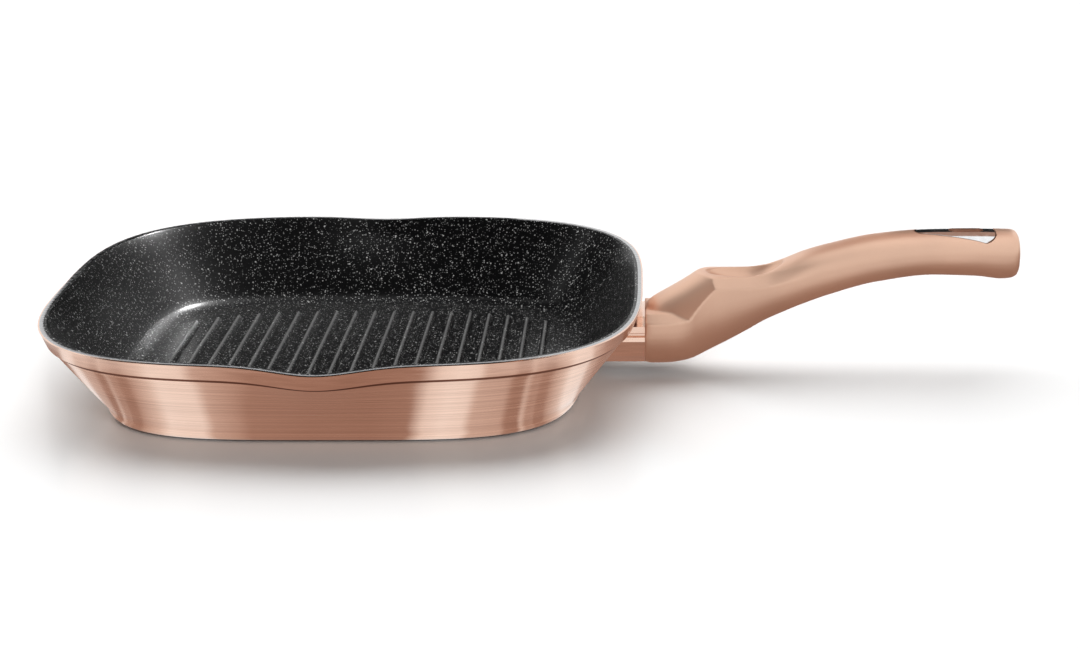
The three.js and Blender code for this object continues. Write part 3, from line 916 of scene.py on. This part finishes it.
class GRILLPAN_OT_fixings(bpy.types.Operator):
    """Give the screw, washers and stud their metal"""
    bl_idname = "grillpan.fixings"
    bl_label = "Screw and washers"

    def execute(self, context):
        kit = make_materials(context.scene.pan_colours)
        for node, finish in (("handle_screw", "screw_steel"), ("spring_washer", "screw_steel"),
                             ("plain_washer", "screw_steel"), ("handle_stud", "ground_aluminium")):
            for slot in bpy.data.objects[node].material_slots:
                slot.material = kit[finish]
        return {"FINISHED"}


# Stage

MIRROR_RAYS = ("Is Glossy Ray", "Is Transmission Ray")
WHITE = (1, 1, 1, 1)
WORLD_LIGHT = 0.3

FLOOR = ((-6, -6, 0), (12, 0, 0), (0, 12, 0))  # a corner and the two edges from it
FLOOR_DROP = 0.2 * MM          # how far it lies under the pan
FLOOR_PALE = (0.92, 0.92, 0.92, 1)
FLOOR_DULL = (0.3, 0.3, 0.3, 1)  # for light that a dull surface has already scattered

# Painted reflection: what polished metal sees of the floor, by share of a quarter turn round the pan, 0
# darkest and 1 white; it paints dark and bright bands into the metal.
PAINTED_REFLECTION_TONES = ((0.0, 0.12), (0.03, 0.1), (0.045, 0.4), (0.09, 0.75), (0.12, 1.0), (0.2, 0.95),
              (0.225, 0.55), (0.28, 0.35), (0.31, 0.12), (0.45, 0.03), (0.6, 0.0), (0.69, 0.08),
              (0.725, 0.9), (0.77, 1.0), (0.815, 0.95), (0.835, 0.6), (0.905, 0.5), (0.92, 0.12),
              (0.95, 0.05), (0.962, 0.7), (0.975, 0.3))
PAINTED_REFLECTION_REPEATS, PAINTED_REFLECTION_TURN = 4.0, -0.5  # repeats round the pan, and where in one they start
# The darkest colour of the painted reflection.
PAINTED_REFLECTION_DARK = (0.36, 0.23, 0.185)
PAINTED_REFLECTION_DISC = (0.165, 0.19)      # radii between which the painted reflection under the bowl fades out
PAINTED_REFLECTION_STRIP = (-0.06, -0.01)    # distances beside its edge over which the painted reflection under the handle, painted shade on its belly, fades out
PAINTED_REFLECTION_WIDENS = 0.6              # how much that edge moves out with each step along the handle

# Painted reflections: glowing cards that only gloss near them mirrors, as painted shade on the rim, the
# handle, the lining and the chrome plate, and as a painted highlight on the handle: a corner, the two
# edges from it, and a colour.
CARD_REACH = 0.4
BLACK_CARD = (0.02, 0.02, 0.02)
BROWN_CARD = (0.4, 0.235, 0.175)
WHITE_CARD = (1.0, 1.0, 1.0)
PAINTED_REFLECTION_CARDS = (("rim_card", (-0.2, 0.17, 0.046), (0.27, 0, 0), (0, 0, 0.114), BLACK_CARD),
         ("grip_card", (0.19, 0.035, 0.15), (0.15, 0, 0), (0, 0.285, 0), BROWN_CARD),
         ("sky_card", (-0.22, -0.3, 0.25), (0.36, 0, 0), (0, 0.46, 0), BLACK_CARD),
         ("ramp_card", (0.09, -0.16, 0.06), (0, 0.11, 0), (0, 0, 0.12), BROWN_CARD),
         ("nose_card", (0.11, -0.01, 0.075), (0, 0.17, 0), (0, 0, 0.13), WHITE_CARD),
         ("plate_card", (0.262, 0.05, 0.074), (0.068, 0, 0), (0, 0, 0.03), BLACK_CARD))

# Lamps that gloss doesn't show: place, apparent size in degrees, and strength.
LAMPS = (("key", (-0.15, 0.45, 0.88), 70, 2.9), ("front", (0.3, -0.8, 0.5), 12, 0.45))

# The spot whose glint shows in the far left corner of the lining: place, aim, watts, cone in degrees,
# softness of its edge, and radius.
GLINT = ((0.35, 0.5, 0.66), (-0.07, 0.07, 0), 180, 9, 0.5, 0.07)

# The camera: sensor width and focal length in millimetres, shift, place and aim.
SENSOR, FOCAL = 36, 76.05
SHIFT = (-0.0944, 0.030)
EYE, EYE_AIM = (0.13958, -1.06986, 0.32955), (0.13958, 0, 0.00693)


class GRILLPAN_OT_stage(bpy.types.Operator):
    """Set the floor, lights, cards and camera"""
    bl_idname = "grillpan.stage"
    bl_label = "Stage"

    def execute(self, context):
        scene = context.scene
        scene.view_settings.view_transform = "Standard"
        self.world(scene)
        self.floor()
        self.lights()
        self.cards()
        self.camera(scene)
        return {"FINISHED"}

    def world(self, scene):
        scene.world = bpy.data.worlds.new("studio")
        scene.world.use_nodes = True
        nodes = Nodes(scene.world.node_tree)
        soft = nodes.tree.nodes["Background"]
        nodes.feed(soft, {"Color": WHITE, "Strength": WORLD_LIGHT})
        white = nodes.add("ShaderNodeBackground", {"Color": WHITE})[0]
        seen = nodes.show_to(("Is Camera Ray", *MIRROR_RAYS), soft.outputs[0], white)
        nodes.feed(nodes.tree.nodes["World Output"], {"Surface": seen})

    def floor(self):
        floor = sheet("floor", *FLOOR)
        floor.location.z = -FLOOR_DROP
        finish = Finish("pale_floor")
        finish.set(Base_Color=FLOOR_PALE, Roughness=0.18, Specular_IOR_Level=0.06)
        dull = finish.add("ShaderNodeBsdfDiffuse", {"Color": FLOOR_DULL})[0]
        lit = finish.show_to(("Diffuse Depth",), finish.shader.outputs[0], dull)
        # Mirrors see a glowing painted reflection of the floor, with dark bands, in place of the lit
        # floor.
        finish.show(finish.show_to(MIRROR_RAYS, lit, self.flags(finish), direct=True))
        floor.data.materials.append(finish.material)

    def flags(self, finish):
        """The white floor as the pan's metal mirrors it, glowing, with painted dark bands round the pan:
        a painted reflection.
        """
        around = finish.add("ShaderNodeTexGradient", {"Vector": finish.place}, gradient_type="RADIAL")
        turned = finish.math("MULTIPLY_ADD", around["Fac"], PAINTED_REFLECTION_REPEATS, PAINTED_REFLECTION_TURN)
        ramp = finish.tree.nodes.new("ShaderNodeValToRGB")
        stops = ramp.color_ramp.elements
        stops.remove(stops[1])
        for place, light in PAINTED_REFLECTION_TONES:
            stop = stops[0] if place == 0.0 else stops.new(place)
            stop.color = (*(dark ** (1 - light) for dark in PAINTED_REFLECTION_DARK), 1)
        finish.feed(ramp, {"Fac": finish.math("FRACT", turned)})
        tone = finish.mix(self.painted_reflection_cover(finish), WHITE, ramp.outputs["Color"])
        return finish.add("ShaderNodeEmission", {"Color": tone})["Emission"]

    def painted_reflection_cover(self, finish):
        """Where the painted reflection lies: a disc under the bowl and a strip under the handle."""
        away = finish.add("ShaderNodeVectorMath", {0: finish.place}, operation="LENGTH")["Value"]
        disc = finish.spread(away, 1, 0, *PAINTED_REFLECTION_DISC)
        axes = finish.axes()
        edge = finish.math("MULTIPLY_ADD", axes["X"], -PAINTED_REFLECTION_WIDENS, finish.math("ABSOLUTE", axes["Y"]))
        beside = finish.spread(edge, 1, 0, *PAINTED_REFLECTION_STRIP)
        behind = finish.spread(axes["X"], 0, 1, 0.0, GRIP_LOW.x)
        return finish.math("MAXIMUM", disc, finish.math("MULTIPLY", beside, behind))

    def lights(self):
        for name, place, angle, power in LAMPS:
            lamp = bpy.data.lights.new(name, "SUN")
            lamp.angle = math.radians(angle)
            lamp.energy = power
            thing = bpy.data.objects.new(name, lamp)
            thing.visible_glossy = False
            self.hang(thing, place, (0, 0, 0))
        place, target, power, cone, blend, radius = GLINT
        lamp = bpy.data.lights.new("glint", "SPOT")
        lamp.energy = power
        lamp.spot_size = math.radians(cone)
        lamp.spot_blend = blend
        lamp.shadow_soft_size = radius
        thing = bpy.data.objects.new("glint", lamp)
        thing.visible_diffuse = False
        self.hang(thing, place, target)

    def hang(self, thing, place, target):
        """Puts a lamp or the camera in its place, looking at a target."""
        thing.location = place
        bpy.context.collection.objects.link(thing)
        thing.rotation_euler = (Vector(target) - thing.location).to_track_quat("-Z", "Y").to_euler()

    def cards(self):
        # The cards glow as painted reflections that only gloss sees.
        for name, corner, across, along, tint in PAINTED_REFLECTION_CARDS:
            card = sheet(name, corner, across, along)
            card.data.materials.append(self.painted_reflection_finish(name, tint))
            card.visible_camera = False
            card.visible_diffuse = False
            card.visible_shadow = False

    def painted_reflection_finish(self, name, tint):
        """A glowing even colour, a painted reflection, that rays from further off, such as the floor's,
        pass through.
        """
        finish = Finish(name)
        glow = finish.add("ShaderNodeEmission", {"Color": shade(tint)})[0]
        clear = finish.add("ShaderNodeBsdfTransparent", {})[0]
        length = finish.add("ShaderNodeLightPath", {})["Ray Length"]
        finish.show(finish.mix_shaders(finish.math("GREATER_THAN", length, CARD_REACH), glow, clear))
        return finish.material

    def camera(self, scene):
        lens = bpy.data.cameras.new("camera")
        lens.sensor_width, lens.lens = SENSOR, FOCAL
        lens.shift_x, lens.shift_y = SHIFT
        thing = bpy.data.objects.new("camera", lens)
        self.hang(thing, EYE, EYE_AIM)
        scene.camera = thing


OPERATORS = (GRILLPAN_OT_bowl, GRILLPAN_OT_ribs, GRILLPAN_OT_base_plate, GRILLPAN_OT_grip,
             GRILLPAN_OT_hang_plate, GRILLPAN_OT_guard, GRILLPAN_OT_fixings, GRILLPAN_OT_stage)
GROUPS = (("pan_sizes", PanSizes), ("handle_sizes", HandleSizes), ("pan_colours", PanColours))


class GRILLPAN_PT_panel(bpy.types.Panel):
    """Lists the pieces of the grill pan"""
    bl_idname = "GRILLPAN_PT_panel"
    bl_label = "Grill Pan"
    bl_space_type = "VIEW_3D"
    bl_region_type = "UI"
    bl_category = "Grill Pan"

    def draw(self, context):
        for operator in OPERATORS:
            self.layout.operator(operator.bl_idname)


def register():
    for name, group in GROUPS:
        bpy.utils.register_class(group)
        setattr(bpy.types.Scene, name, PointerProperty(type=group))
    for cls in (*OPERATORS, GRILLPAN_PT_panel):
        bpy.utils.register_class(cls)


def unregister():
    for cls in reversed((*OPERATORS, GRILLPAN_PT_panel)):
        bpy.utils.unregister_class(cls)
    for name, group in reversed(GROUPS):
        delattr(bpy.types.Scene, name)
        bpy.utils.unregister_class(group)


def main():
    register()
    for operator in OPERATORS:
        getattr(bpy.ops.grillpan, operator.bl_idname.split(".")[1])()


if __name__ == "__main__":
    main()
